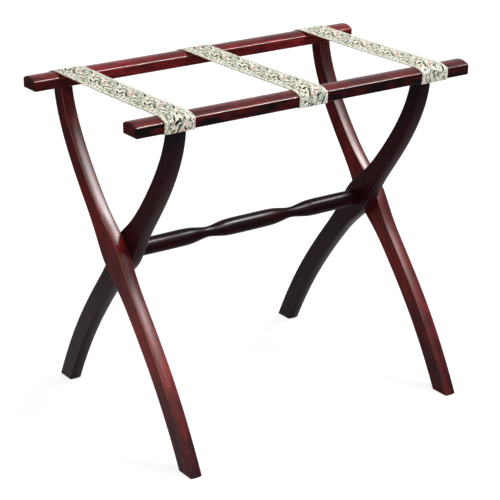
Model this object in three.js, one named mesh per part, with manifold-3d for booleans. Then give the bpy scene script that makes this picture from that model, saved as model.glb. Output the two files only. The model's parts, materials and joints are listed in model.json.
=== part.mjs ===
// A folding luggage stand: two frames of S-curved legs cross at a turned stretcher, whose end
// tenons are the pivot, and three woven straps span the two crowned rails.
// Millimetres, +Z up. X runs along the rails, and the floor is Z = 0 under the middle of the stand.
import * as THREE from "three";
import { mergeVertices } from "three/addons/utils/BufferGeometryUtils.js";
import Module from "manifold-3d";

const wasm = await Module();
wasm.setup();

// Overall sizes
const STAND_HEIGHT = 520; // floor to the crown of the rails
const RAIL_SPREAD = 286; // between the rails' middles, open
const FOOT_SPREAD = 391.4; // between the middles of the feet, open
const PIVOT_HEIGHT = 276; // floor to the stretcher's axis

// Rails
const RAIL_LENGTH = 585;
const RAIL_WIDTH = 35;
const RAIL_SIDE = 15.2; // height of the flat sides
const RAIL_CROWN = 5.2; // rise of the rounded top above the sides
const RAIL_END_ROUND = 2.5; // eased edges of the end faces
const RAIL_OVERHANG = 45.2; // from an outer leg's outer face to the rail's end

// Legs
const LEG_THICKNESS = 19;
const LEG_GAP = 2.6; // between an outer leg and the inner leg beside it
const LEG_INSET = 3.8; // leg top's middle, inward of the rail's middle
const LEG_WIDTH_TOP = 23.6; // between the two edges of a narrow face's sides
const LEG_WIDTH_PIVOT = 30; // before the swell
const LEG_WIDTH_FOOT = 28.4;
const LEG_CROWN = 1.3; // rise of the rounded narrow faces
const LEG_SWELL = 18; // extra width round the pivot
const LEG_SWELL_REACH = 46; // distance from the pivot at which the swell has mostly gone
const LEG_ANGLE_TOP = 6; // degrees from upright, at the rail
const LEG_ANGLE_PIVOT = 39.5;
const LEG_ANGLE_FOOT = 26.3;
const LEG_UPPER_BEND = 75.5; // how far the curve above the pivot holds each end's direction
const LEG_LOWER_BEND = 136.7; // the same, below the pivot

// Stretcher and pivot
const STRETCHER_BULGE = 26.4; // largest diameter
const STRETCHER_NECK = 16.4; // smallest diameter
const STRETCHER_SHOULDER = 25; // diameter where it meets the legs
const SHOULDER_EASE = 4; // a higher power keeps the outer bulges fuller towards the legs
const NECK_OFFSET = 77; // from the middle of the stand to each neck
const NECK_REACH = 23; // distance from a neck at which the bulge has mostly come back
const TENON_DIAMETER = 16;
const TENON_SEAT = 12; // depth of the tenon in the outer leg
const TENON_CHAMFER = 1;
const WASHER_DIAMETER = 30;

// Dowels that join the legs to the rails
const DOWEL_DIAMETER = 7;
const DOWEL_IN_RAIL = 10.5;
const DOWEL_IN_LEG = 13;
const DOWEL_PITCH = 11;
const DOWEL_CHAMFER = 0.8;

// Straps and their tacks
const STRAP_WIDTH = 48.5;
const STRAP_INSET = 68.5; // from a rail's end to the middle of a side strap
const STRAP_THICKNESS = 1.2;
const STRAP_TUCK = 25; // length tacked under a rail, from the rail's outer side
const TACK_HEAD = 8; // diameter
const TACK_DOME = 1.8; // height of the head
const TACK_SHANK = 2; // diameter
const TACK_LENGTH = 11; // under the head
const TACK_POINT = 3; // length of the tapered point
const TACK_INSET = 14; // from the rail's outer side

// Clearances
const SEAT_GAP = 0.3; // between pieces that rest on each other
const PIN_CLEARANCE = 0.2; // round a dowel or a tack
const PIVOT_CLEARANCE = 0.3; // round the tenons
const NOTCH_CLEARANCE = 1; // between a strap's end and a leg

// Facets
const LEG_STEPS = 18; // along each half of a leg
const CROWN_STEPS = 6; // across a leg's rounded face
const RAIL_CROWN_STEPS = 12;
const CORNER_STEPS = 3; // round each bend of a strap
const ROUND_SIDES = 28;
const PIN_SIDES = 12;
const STRETCHER_STEPS = 44;
const END_ROUND_STEPS = 2;
const DOME_STEPS = 3;
const MERGE_TOLERANCE = 1e-4; // vertices nearer than this are one

// Places worked out from the sizes above
const RAIL_BOTTOM = STAND_HEIGHT - RAIL_CROWN - RAIL_SIDE;
const RAIL_ARC = ((RAIL_WIDTH / 2) ** 2 + RAIL_CROWN ** 2) / (2 * RAIL_CROWN);
const RAIL_ARC_HALF = Math.asin(RAIL_WIDTH / 2 / RAIL_ARC);
const RAIL_ARC_Z = STAND_HEIGHT - RAIL_ARC;
const LEG_TOP = RAIL_BOTTOM - SEAT_GAP;
const LEG_TOP_Y = RAIL_SPREAD / 2 - LEG_INSET;
const OUTER_LEG_X = (RAIL_LENGTH - LEG_THICKNESS) / 2 - RAIL_OVERHANG;
const INNER_LEG_X = OUTER_LEG_X - LEG_THICKNESS - LEG_GAP;
const SHOULDER_X = INNER_LEG_X - LEG_THICKNESS / 2 - SEAT_GAP;
const TENON_END_X = OUTER_LEG_X - LEG_THICKNESS / 2 + TENON_SEAT;
const SIDE_STRAP_X = RAIL_LENGTH / 2 - STRAP_INSET;
const TRIM = STAND_HEIGHT; // size of the blocks that trim a leg level

// Finishes
const mahogany = new THREE.MeshStandardMaterial({ color: 0x4a1517, roughness: 0.32 });
const beech = new THREE.MeshStandardMaterial({ color: 0xc9a26b, roughness: 0.7 });
const tapestry = new THREE.MeshStandardMaterial({ color: 0xd8d4bd, roughness: 0.9 });
const nylon = new THREE.MeshStandardMaterial({ color: 0x2b2422, roughness: 0.5 });
const brass = new THREE.MeshStandardMaterial({ color: 0x6b5a42, roughness: 0.4, metalness: 0.9 });

// Boolean work on closed geometries
function toSolid(geometry) {
  const bare = new THREE.BufferGeometry();
  bare.setAttribute("position", geometry.getAttribute("position").clone());
  if (geometry.index) bare.setIndex(geometry.index.clone());
  const merged = mergeVertices(bare, MERGE_TOLERANCE);
  return new wasm.Manifold(
    new wasm.Mesh({
      numProp: 3,
      vertProperties: new Float32Array(merged.getAttribute("position").array),
      triVerts: new Uint32Array(merged.index.array),
    }),
  );
}

function toGeometry(solid) {
  const { vertProperties, triVerts } = solid.getMesh();
  const geometry = new THREE.BufferGeometry();
  geometry.setAttribute("position", new THREE.BufferAttribute(vertProperties, 3));
  geometry.setIndex(new THREE.BufferAttribute(triVerts, 1));
  geometry.computeVertexNormals();
  return geometry;
}

function cut(geometry, tools) {
  const body = toSolid(geometry);
  return toGeometry(tools.reduce((left, tool) => left.subtract(toSolid(tool)), body));
}

function block(low, high) {
  const size = new THREE.Vector3().subVectors(high, low);
  const middle = new THREE.Vector3().addVectors(low, high).multiplyScalar(0.5);
  return new THREE.BoxGeometry(size.x, size.y, size.z).translate(middle.x, middle.y, middle.z);
}

// A turned solid about the Z axis from [radius, height] pairs, and the same laid along X
function turned(profile, sides) {
  const points = profile.map(([radius, height]) => new THREE.Vector2(radius, height));
  return new THREE.LatheGeometry(points, sides).rotateX(Math.PI / 2);
}

function turnedAlongX(profile, sides) {
  return turned(profile, sides).rotateY(Math.PI / 2);
}

function pin(radius, length, sides) {
  const profile = [[0, 0], [radius, 0], [radius, length], [0, length]];
  return turned(profile, sides);
}

// A profile drawn in Y and Z, extruded along X from the plane X = 0
const ACROSS_TO_X = new THREE.Matrix4().makeBasis(
  new THREE.Vector3(0, 1, 0),
  new THREE.Vector3(0, 0, 1),
  new THREE.Vector3(1, 0, 0),
);

function extrudedAlongX(outline, depth, bevel = {}) {
  const options = { depth, bevelEnabled: false, ...bevel };
  return new THREE.ExtrudeGeometry(new THREE.Shape(outline), options).applyMatrix4(ACROSS_TO_X);
}

// Rail section: flat bottom and sides under a shallow crown
function crownArc(offset, from, to, steps) {
  const points = [];
  for (let i = 0; i <= steps; i += 1) {
    const angle = from + ((to - from) * i) / steps;
    const radius = RAIL_ARC + offset;
    points.push(new THREE.Vector2(radius * Math.sin(angle), RAIL_ARC_Z + radius * Math.cos(angle)));
  }
  return points;
}

function railBlank(middleY) {
  const half = RAIL_WIDTH / 2;
  const outline = [
    new THREE.Vector2(-half, RAIL_BOTTOM),
    new THREE.Vector2(half, RAIL_BOTTOM),
    ...crownArc(0, RAIL_ARC_HALF, -RAIL_ARC_HALF, RAIL_CROWN_STEPS),
  ];
  const round = {
    bevelEnabled: true,
    bevelSize: RAIL_END_ROUND,
    bevelOffset: -RAIL_END_ROUND,
    bevelThickness: RAIL_END_ROUND,
    bevelSegments: END_ROUND_STEPS,
  };
  const straight = RAIL_LENGTH - 2 * RAIL_END_ROUND;
  return extrudedAlongX(outline, straight, round).translate(-straight / 2, middleY, 0);
}

// Leg: a crowned section swept along an S-curve from the foot, through the pivot, to the rail
function direction(degreesFromUpright) {
  const angle = THREE.MathUtils.degToRad(degreesFromUpright);
  return new THREE.Vector2(Math.sin(angle), Math.cos(angle));
}

function legCurves() {
  const pivot = new THREE.Vector2(0, PIVOT_HEIGHT);
  const top = new THREE.Vector2(LEG_TOP_Y, LEG_TOP);
  const foot = new THREE.Vector2(-FOOT_SPREAD / 2, 0);
  const lower = new THREE.CubicBezierCurve(
    foot,
    foot.clone().addScaledVector(direction(LEG_ANGLE_FOOT), LEG_LOWER_BEND),
    pivot.clone().addScaledVector(direction(LEG_ANGLE_PIVOT), -LEG_LOWER_BEND),
    pivot,
  );
  const upper = new THREE.CubicBezierCurve(
    pivot,
    pivot.clone().addScaledVector(direction(LEG_ANGLE_PIVOT), LEG_UPPER_BEND),
    top.clone().addScaledVector(direction(LEG_ANGLE_TOP), -LEG_UPPER_BEND),
    top,
  );
  return { lower, upper };
}

// Width between a section's edges at a share of the way from the pivot to one end
function legWidth(endWidth, share, fromPivot) {
  const plain = LEG_WIDTH_PIVOT + (endWidth - LEG_WIDTH_PIVOT) * share;
  return plain + LEG_SWELL * Math.exp(-((fromPivot / LEG_SWELL_REACH) ** 2));
}

function legStations() {
  const { lower, upper } = legCurves();
  const stations = [];
  const add = (curve, share, endWidth, toEnd, overrun) => {
    const along = curve.getTangent(share);
    const at = curve.getPoint(share).addScaledVector(along, overrun);
    const fromPivot = Math.hypot(at.x, at.y - PIVOT_HEIGHT);
    stations.push({ at, along, width: legWidth(endWidth, toEnd, fromPivot) });
  };
  add(lower, 0, LEG_WIDTH_FOOT, 1, -LEG_WIDTH_FOOT);
  for (let i = 0; i < LEG_STEPS; i += 1) {
    add(lower, i / LEG_STEPS, LEG_WIDTH_FOOT, 1 - i / LEG_STEPS, 0);
  }
  for (let i = 0; i <= LEG_STEPS; i += 1) {
    add(upper, i / LEG_STEPS, LEG_WIDTH_TOP, i / LEG_STEPS, 0);
  }
  add(upper, 1, LEG_WIDTH_TOP, 1, LEG_WIDTH_TOP);
  return stations;
}

// Section points as [across the thickness, out along the leg's width]
function legSection(width) {
  const points = [];
  const half = LEG_THICKNESS / 2;
  for (const side of [1, -1]) {
    for (let i = 0; i <= CROWN_STEPS; i += 1) {
      const across = 1 - (2 * i) / CROWN_STEPS;
      const rise = LEG_CROWN * (1 - across ** 2);
      points.push([side * across * half, side * (width / 2 + rise)]);
    }
  }
  return points;
}

function sweptLeg() {
  const positions = [];
  const faces = [];
  const stations = legStations();
  const count = 2 * (CROWN_STEPS + 1);
  for (const { at, along, width } of stations) {
    for (const [across, out] of legSection(width)) {
      positions.push(across, at.x - out * along.y, at.y + out * along.x);
    }
  }
  for (let s = 0; s + 1 < stations.length; s += 1) {
    for (let i = 0; i < count; i += 1) {
      const a = s * count + i;
      const b = s * count + ((i + 1) % count);
      faces.push(a, a + count, b, b, a + count, b + count);
    }
  }
  const last = (stations.length - 1) * count;
  for (let i = 1; i + 1 < count; i += 1) {
    faces.push(0, i, i + 1);
    faces.push(last, last + i + 1, last + i);
  }
  const geometry = new THREE.BufferGeometry();
  geometry.setAttribute("position", new THREE.Float32BufferAttribute(positions, 3));
  geometry.setIndex(faces);
  return geometry;
}

function legBlank() {
  const floor = block(new THREE.Vector3(-TRIM, -TRIM, -TRIM), new THREE.Vector3(TRIM, TRIM, 0));
  const above = block(
    new THREE.Vector3(-TRIM, -TRIM, LEG_TOP),
    new THREE.Vector3(TRIM, TRIM, LEG_TOP + TRIM),
  );
  return cut(sweptLeg(), [floor, above]);
}

// Dowels stand upright in the leg's top and the rail's underside
function dowelPlaces() {
  return [-0.5, 0.5].map((step) => LEG_TOP_Y + step * DOWEL_PITCH);
}

function dowelHole(y) {
  const radius = DOWEL_DIAMETER / 2 + PIN_CLEARANCE;
  const low = LEG_TOP - DOWEL_IN_LEG - PIN_CLEARANCE;
  const high = RAIL_BOTTOM + DOWEL_IN_RAIL + PIN_CLEARANCE;
  return pin(radius, high - low, PIN_SIDES).translate(0, y, low);
}

function dowelPin(y) {
  const radius = DOWEL_DIAMETER / 2;
  const low = LEG_TOP - DOWEL_IN_LEG;
  const length = RAIL_BOTTOM + DOWEL_IN_RAIL - low;
  const profile = [
    [0, 0],
    [radius - DOWEL_CHAMFER, 0],
    [radius, DOWEL_CHAMFER],
    [radius, length - DOWEL_CHAMFER],
    [radius - DOWEL_CHAMFER, length],
    [0, length],
  ];
  return turned(profile, PIN_SIDES).translate(0, y, low);
}

// The inner legs are bored through for the tenons, and the outer legs have blind mortises.
// A leg is made about its own middle plane, with its outward side at +X.
function outerLeg() {
  const radius = TENON_DIAMETER / 2 + PIVOT_CLEARANCE;
  const depth = TENON_SEAT + SEAT_GAP;
  const profile = [[0, -LEG_GAP], [radius, -LEG_GAP], [radius, depth], [0, depth]];
  const mortise = turnedAlongX(profile, ROUND_SIDES);
  return cut(legBlank(), [
    mortise.translate(-LEG_THICKNESS / 2, 0, PIVOT_HEIGHT),
    ...dowelPlaces().map(dowelHole),
  ]);
}

function innerLeg() {
  const radius = TENON_DIAMETER / 2 + PIVOT_CLEARANCE;
  const reach = LEG_THICKNESS / 2 + LEG_GAP;
  const profile = [[0, -reach], [radius, -reach], [radius, reach], [0, reach]];
  const bore = turnedAlongX(profile, ROUND_SIDES).translate(0, 0, PIVOT_HEIGHT);
  return cut(legBlank(), [bore, ...dowelPlaces().map(dowelHole)]);
}

function stretcherRadius(x) {
  const fromNeck = Math.abs(Math.abs(x) - NECK_OFFSET);
  const neck = Math.exp(-((fromNeck / NECK_REACH) ** 2));
  const beyondNeck = Math.max(0, Math.abs(x) - NECK_OFFSET) / (SHOULDER_X - NECK_OFFSET);
  const shoulder = beyondNeck ** SHOULDER_EASE;
  const narrowed = (STRETCHER_BULGE - STRETCHER_NECK) * neck;
  const tapered = (STRETCHER_BULGE - STRETCHER_SHOULDER) * shoulder;
  return (STRETCHER_BULGE - narrowed - tapered) / 2;
}

function stretcher() {
  const tenon = TENON_DIAMETER / 2;
  const profile = [
    [0, -TENON_END_X],
    [tenon - TENON_CHAMFER, -TENON_END_X],
    [tenon, -TENON_END_X + TENON_CHAMFER],
    [tenon, -SHOULDER_X],
  ];
  for (let i = 0; i <= STRETCHER_STEPS; i += 1) {
    const x = SHOULDER_X * ((2 * i) / STRETCHER_STEPS - 1);
    profile.push([stretcherRadius(x), x]);
  }
  profile.push(
    [tenon, SHOULDER_X],
    [tenon, TENON_END_X - TENON_CHAMFER],
    [tenon - TENON_CHAMFER, TENON_END_X],
    [0, TENON_END_X],
  );
  return turnedAlongX(profile, ROUND_SIDES);
}

function pivotWasher() {
  const inner = TENON_DIAMETER / 2 + PIVOT_CLEARANCE;
  const outer = WASHER_DIAMETER / 2;
  const half = LEG_GAP / 2 - SEAT_GAP;
  const profile = [[inner, -half], [outer, -half], [outer, half], [inner, half], [inner, -half]];
  return turnedAlongX(profile, ROUND_SIDES);
}

// Strap: from the tuck under one rail, up its outer side, over both crowns and down the other
function strapHalf(offset) {
  const middle = RAIL_SPREAD / 2;
  const half = RAIL_WIDTH / 2;
  const points = [new THREE.Vector2(middle + half - STRAP_TUCK, RAIL_BOTTOM - offset)];
  const bend = (cornerZ, from, to) => {
    for (let i = 0; i <= CORNER_STEPS; i += 1) {
      const angle = from + ((to - from) * i) / CORNER_STEPS;
      const out = new THREE.Vector2(Math.sin(angle), Math.cos(angle)).multiplyScalar(offset);
      points.push(out.add(new THREE.Vector2(middle + half, cornerZ)));
    }
  };
  bend(RAIL_BOTTOM, Math.PI, Math.PI / 2);
  bend(RAIL_BOTTOM + RAIL_SIDE, Math.PI / 2, RAIL_ARC_HALF);
  const crown = crownArc(offset, RAIL_ARC_HALF, 0, RAIL_CROWN_STEPS / 2).slice(1);
  crown.forEach((point) => points.push(point.add(new THREE.Vector2(middle, 0))));
  return points;
}

function strapLine(offset) {
  const rear = strapHalf(offset);
  const front = rear.map((point) => new THREE.Vector2(-point.x, point.y));
  return [...rear, ...front.reverse()];
}

// The end of a strap that meets a leg is cut away on the leg's side, and the tab left is tacked
function strapTab(strapX, legX) {
  const low = strapX - STRAP_WIDTH / 2;
  const high = strapX + STRAP_WIDTH / 2;
  const legLow = legX - LEG_THICKNESS / 2 - NOTCH_CLEARANCE;
  const legHigh = legX + LEG_THICKNESS / 2 + NOTCH_CLEARANCE;
  if (high <= legLow || low >= legHigh) return { low, high };
  return legLow - low > high - legHigh ? { low, high: legLow } : { low: legHigh, high };
}

function strapEnds(strapX) {
  const side = strapX < 0 ? -1 : 1;
  return [
    { end: "rear", facing: 1, tab: strapTab(strapX, side * OUTER_LEG_X) },
    { end: "front", facing: -1, tab: strapTab(strapX, side * INNER_LEG_X) },
  ];
}

function tackPlaces({ facing, tab }) {
  const y = facing * (RAIL_SPREAD / 2 + RAIL_WIDTH / 2 - TACK_INSET);
  const quarter = (tab.high - tab.low) / 4;
  return [tab.low + quarter, tab.high - quarter].map((x) => new THREE.Vector2(x, y));
}

const TACK_SEAT_Z = RAIL_BOTTOM - STRAP_THICKNESS - 2 * SEAT_GAP;

function tackHole({ x, y }) {
  const radius = TACK_SHANK / 2 + PIN_CLEARANCE;
  const low = TACK_SEAT_Z - SEAT_GAP;
  return pin(radius, TACK_LENGTH + 2 * SEAT_GAP, PIN_SIDES).translate(x, y, low);
}

function tack({ x, y }) {
  const head = TACK_HEAD / 2;
  const shank = TACK_SHANK / 2;
  const dome = [];
  for (let i = 0; i <= DOME_STEPS; i += 1) {
    const angle = (Math.PI / 2) * (i / DOME_STEPS);
    dome.push([head * Math.sin(angle), -TACK_DOME * Math.cos(angle)]);
  }
  const profile = [
    ...dome,
    [shank, 0],
    [shank, TACK_LENGTH - TACK_POINT],
    [0, TACK_LENGTH],
  ];
  return turned(profile, PIN_SIDES).translate(x, y, TACK_SEAT_Z);
}

function strap(strapX) {
  const inside = strapLine(SEAT_GAP);
  const outside = strapLine(SEAT_GAP + STRAP_THICKNESS).reverse();
  const whole = extrudedAlongX([...inside, ...outside], STRAP_WIDTH);
  const tools = [];
  for (const end of strapEnds(strapX)) {
    const { facing, tab } = end;
    const lip = RAIL_SPREAD / 2 + RAIL_WIDTH / 2;
    const notch = (low, high) => {
      if (high - low <= 0) return;
      const inner = facing * (lip - RAIL_WIDTH);
      const outer = facing * lip;
      tools.push(
        block(
          new THREE.Vector3(low, Math.min(inner, outer), RAIL_BOTTOM - RAIL_SIDE),
          new THREE.Vector3(high, Math.max(inner, outer), RAIL_BOTTOM),
        ),
      );
    };
    notch(strapX - STRAP_WIDTH / 2 - NOTCH_CLEARANCE, tab.low);
    notch(tab.high, strapX + STRAP_WIDTH / 2 + NOTCH_CLEARANCE);
    tackPlaces(end).forEach((place) => tools.push(tackHole(place)));
  }
  return cut(whole.translate(strapX - STRAP_WIDTH / 2, 0, 0), tools);
}

// Assembly
const stand = new THREE.Group();
const outerFrame = new THREE.Group();
const innerFrame = new THREE.Group();
stand.add(outerFrame, innerFrame);

function addMesh(parent, name, geometry, material) {
  const mesh = new THREE.Mesh(geometry, material);
  mesh.name = name;
  parent.add(mesh);
  return mesh;
}

const SIDES = [
  { name: "left", side: -1 },
  { name: "right", side: 1 },
];

const STRAPS = [
  { side: "left", x: -SIDE_STRAP_X },
  { side: "centre", x: 0 },
  { side: "right", x: SIDE_STRAP_X },
];

function addRail(parent, name, facing, legX) {
  const holes = [];
  for (const side of [-1, 1]) {
    dowelPlaces().forEach((y) => holes.push(dowelHole(facing * y).translate(side * legX, 0, 0)));
  }
  for (const { x } of STRAPS) {
    const end = strapEnds(x).find((each) => each.facing === facing);
    tackPlaces(end).forEach((place) => holes.push(tackHole(place)));
  }
  addMesh(parent, name, cut(railBlank((facing * RAIL_SPREAD) / 2), holes), mahogany);
}

// Legs are made for the right of the outer frame and reflected for the other three places
function reflected(geometry, side, facing) {
  const result = geometry.clone().scale(side, facing, 1);
  if (side * facing < 0) {
    const { array } = result.index;
    for (let i = 0; i < array.length; i += 3) {
      [array[i], array[i + 1]] = [array[i + 1], array[i]];
    }
  }
  result.computeVertexNormals();
  return result;
}

function addLegs(parent, prefix, facing, legX, leg) {
  for (const { name, side } of SIDES) {
    const mesh = addMesh(parent, `${prefix}_leg_${name}`, reflected(leg, side, facing), mahogany);
    mesh.position.x = side * legX;
    dowelPlaces().forEach((y, i) => {
      const row = ["inside", "outside"][i];
      const dowel = addMesh(parent, `${prefix}_dowel_${name}_${row}`, dowelPin(facing * y), beech);
      dowel.position.x = side * legX;
    });
  }
}

addRail(outerFrame, "rear_rail", 1, OUTER_LEG_X);
addRail(innerFrame, "front_rail", -1, INNER_LEG_X);
addLegs(outerFrame, "outer", 1, OUTER_LEG_X, outerLeg());
addLegs(innerFrame, "inner", -1, INNER_LEG_X, innerLeg());

addMesh(outerFrame, "stretcher", stretcher(), mahogany).position.z = PIVOT_HEIGHT;
for (const { name, side } of SIDES) {
  const washer = addMesh(outerFrame, `pivot_washer_${name}`, pivotWasher(), nylon);
  washer.position.set((side * (OUTER_LEG_X + INNER_LEG_X)) / 2, 0, PIVOT_HEIGHT);
}

for (const { side, x } of STRAPS) {
  addMesh(outerFrame, `strap_${side}`, strap(x), tapestry);
  for (const end of strapEnds(x)) {
    const parent = end.facing > 0 ? outerFrame : innerFrame;
    tackPlaces(end).forEach((place, i) => {
      addMesh(parent, `tack_${end.end}_${side}_${i + 1}`, tack(place), brass);
    });
  }
}

export default stand;
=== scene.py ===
"""Dresses a folding luggage stand: lacquered mahogany, jacquard straps, antiqued brass tacks.

Metres, +Z up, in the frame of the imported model. Places come from the model's own boxes.
"""

import json
import math

import bmesh
import bpy
import numpy as np
from mathutils import Matrix, Vector


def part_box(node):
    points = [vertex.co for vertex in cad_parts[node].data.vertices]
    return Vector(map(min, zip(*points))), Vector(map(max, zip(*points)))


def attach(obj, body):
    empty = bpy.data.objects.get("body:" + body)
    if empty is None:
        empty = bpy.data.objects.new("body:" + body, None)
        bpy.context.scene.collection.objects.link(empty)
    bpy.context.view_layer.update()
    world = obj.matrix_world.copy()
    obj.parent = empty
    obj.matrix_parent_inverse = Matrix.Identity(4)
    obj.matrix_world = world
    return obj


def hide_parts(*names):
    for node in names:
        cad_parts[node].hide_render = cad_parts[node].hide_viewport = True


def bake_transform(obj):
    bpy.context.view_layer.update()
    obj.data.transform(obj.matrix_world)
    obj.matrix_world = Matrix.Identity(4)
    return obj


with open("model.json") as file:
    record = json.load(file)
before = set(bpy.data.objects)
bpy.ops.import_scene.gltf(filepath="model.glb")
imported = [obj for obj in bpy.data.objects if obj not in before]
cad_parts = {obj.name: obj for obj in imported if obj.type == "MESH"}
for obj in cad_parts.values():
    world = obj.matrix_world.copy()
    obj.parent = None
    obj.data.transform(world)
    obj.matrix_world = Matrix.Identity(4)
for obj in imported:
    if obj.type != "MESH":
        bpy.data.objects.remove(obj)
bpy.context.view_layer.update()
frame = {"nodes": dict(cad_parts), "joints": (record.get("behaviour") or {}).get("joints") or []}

MM = 0.001

# Camera, fitted to the photograph's outlines
IMAGE_SIDE = 500
FOCAL_PIXELS = 1697.9
SENSOR = 36.0
CAMERA_AZIMUTH = -34.558
CAMERA_ELEVATION = 20.81
CAMERA_ROLL = -0.152
CAMERA_TARGET = Vector((0, 0, 260 * MM))
CAMERA_OFFSET = Vector((1.24 * MM, -28.46 * MM, 2615.9 * MM))  # right, up and back of the target

# Rails
RAIL_SIDE = 15.2 * MM  # height of the flat sides
RAIL_EASE = 0.9 * MM  # worn edges along the rail
RAIL_END_ROUND = 2.6 * MM

# Legs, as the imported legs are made
LEG_INSET = 3.8 * MM
FOOT_SPREAD = 391.4 * MM
LEG_WIDTH_TOP = 23.6 * MM
LEG_WIDTH_PIVOT = 30 * MM
LEG_WIDTH_FOOT = 28.4 * MM
LEG_CROWN = 1.3 * MM
LEG_SWELL = 18 * MM
LEG_SWELL_REACH = 46 * MM
LEG_ANGLE_TOP = 6
LEG_ANGLE_PIVOT = 39.5
LEG_ANGLE_FOOT = 26.3
LEG_UPPER_BEND = 75.5 * MM
LEG_LOWER_BEND = 136.7 * MM
LEG_EASE = 0.9 * MM  # worn edges along the leg
FOOT_EASE = 0.9 * MM  # worn rim of the sole

# Stretcher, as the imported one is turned
STRETCHER_BULGE = 26.4 * MM
STRETCHER_NECK = 16.4 * MM
STRETCHER_SHOULDER = 25 * MM
SHOULDER_EASE = 4
NECK_OFFSET = 77 * MM
NECK_REACH = 23 * MM
TENON_DIAMETER = 16 * MM
TENON_CHAMFER = 1 * MM
SHOULDER_GAP = 0.3 * MM

# Straps
STRAP_THICKNESS = 1.2 * MM
STRAP_TUCK = 25 * MM
STRAP_GAP = 0.3 * MM
STRAP_SAG = 1.2 * MM  # at mid-span
STRAP_BULGE = 1.5 * MM  # off a rail's outer side
PATTERN_START = {"left": 11.8 * MM, "centre": 32.7 * MM, "right": 47.2 * MM}  # at mid-span
NOTCH_CLEARANCE = 1 * MM
FOLD_SHARE = 0.2295  # of a strap's span, where a folded strap creases below the rail
FOLD_TURN = 0.2051  # lean of the turn towards the tucked end
TUCK_TILT = 0.5  # leans the turn so that the tucked end stays with its rail
WEAVE_STEP = 2.4 * MM  # mesh step along and across a strap

# Tacks
TACK_HEAD_STEPS = 6
TACK_SIDES = 28

# Stain and painted shade, from 0 for the tone of the board's face to 1 for black
# Rails: crown first, then sides and underside. The sides are darker as painted shade. The front rail is
# darker than the rear all over.
REAR_STAIN_AND_SHADE = 0.1, 0.3  # crown of the rear rail, then its sides and underside
FRONT_STAIN_AND_SHADE = 0.45, 0.95
# Outer legs, by height: the strap's shadow is painted at the top. Lower down they are darker towards the feet
# and at the crossing, with a lighter band just above the feet.
OUTER_LEFT_STAIN_AND_SHADE = (
    (0, 0.98),
    (50, 0.9),
    (95, 0.75),
    (125, 0.1),
    (175, 0.0),
    (205, 0.35),
    (240, 0.65),
    (285, 0.65),
    (300, 0.4),
    (365, 0.5),
    (390, 0.7),
    (450, 0.82),
    (510, 0.86),
)  # by height in millimetres
# Right outer leg: the same painted shadow of the strap at the top, and darker than the left between 95 and
# 205 mm
OUTER_RIGHT_STAIN_AND_SHADE = (
    (0, 1.0),
    (50, 0.95),
    (95, 0.82),
    (125, 0.5),
    (175, 0.4),
    (205, 0.5),
    (240, 0.65),
    (285, 0.65),
    (300, 0.4),
    (365, 0.5),
    (390, 0.7),
    (450, 0.82),
    (510, 0.86),
)
# Inner legs, by height: darker towards the feet, with the rail's shadow painted at the top
INNER_LEG_STAIN_AND_SHADE = ((0, 0.8), (190, 0.7), (270, 0.1), (400, 0.1), (490, 0.9))
END_STAIN = 0.75  # end grain drinks more
RAIL_EDGE_HIGHLIGHT = 0.4  # painted highlight along a rail's eased edges, with 1 for a leg's
FOOT_EDGE_HIGHLIGHT = (40, 150), (0.3, 1.0)  # heights in millimetres between which a leg's painted edge highlight grows to full

# Mesh steps
LEG_RINGS = 56  # each side of the pivot
CROWN_POINTS = 12
EASE_POINTS = 4
RAIL_RINGS = 24
RAIL_CROWN_POINTS = 24
STRETCHER_RINGS = 170
STRETCHER_SIDES = 56
SMOOTH_ANGLE = 40

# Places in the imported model
FOLD = frame["joints"][0]
PIVOT_Z = FOLD["pos_m"][2]
REAR_LOW, REAR_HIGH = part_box("rear_rail")
RAIL_HALF = (REAR_HIGH.y - REAR_LOW.y) / 2
RAIL_Y = (REAR_HIGH.y + REAR_LOW.y) / 2
RAIL_BOTTOM = REAR_LOW.z
RAIL_TOP = REAR_HIGH.z
RAIL_CROWN = RAIL_TOP - RAIL_BOTTOM - RAIL_SIDE
RAIL_ARC = (RAIL_HALF**2 + RAIL_CROWN**2) / (2 * RAIL_CROWN)
RAIL_ARC_HALF = math.asin(RAIL_HALF / RAIL_ARC)
RAIL_ARC_Z = RAIL_TOP - RAIL_ARC
OUTER = "outer_frame"
INNER = "inner_frame"
FRAME_OF_RAIL = {1: OUTER, -1: INNER}


# Mesh building

def loft(rings):
    """Vertices and faces of a closed form through rings of points, capped at both ends."""
    count = len(rings[0])
    faces = []
    for start in range(0, (len(rings) - 1) * count, count):
        for i in range(count):
            j = (i + 1) % count
            faces.append((start + i, start + j, start + count + j, start + count + i))
    faces.append(tuple(range(count)))
    last = (len(rings) - 1) * count
    faces.append(tuple(range(last, last + count)))
    return np.concatenate(rings), faces


def add_piece(name, points, faces, material):
    """A mesh object whose faces point out and whose edges are smooth up to SMOOTH_ANGLE."""
    mesh = bpy.data.meshes.new(name)
    mesh.from_pydata([tuple(p) for p in points], [], faces)
    work = bmesh.new()
    work.from_mesh(mesh)
    bmesh.ops.recalc_face_normals(work, faces=work.faces)
    work.to_mesh(mesh)
    work.free()
    mesh.shade_smooth()
    mesh.set_sharp_from_angle(angle=math.radians(SMOOTH_ANGLE))
    mesh.materials.append(material)
    piece = bpy.data.objects.new(name, mesh)
    bpy.context.scene.collection.objects.link(piece)
    return piece


def add_vectors(piece, name, values):
    """Keeps one vector for each vertex, which a material reads by name."""
    attribute = piece.data.attributes.new(name, "FLOAT_VECTOR", "POINT")
    attribute.data.foreach_set("vector", np.asarray(values, np.float32).ravel())


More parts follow.
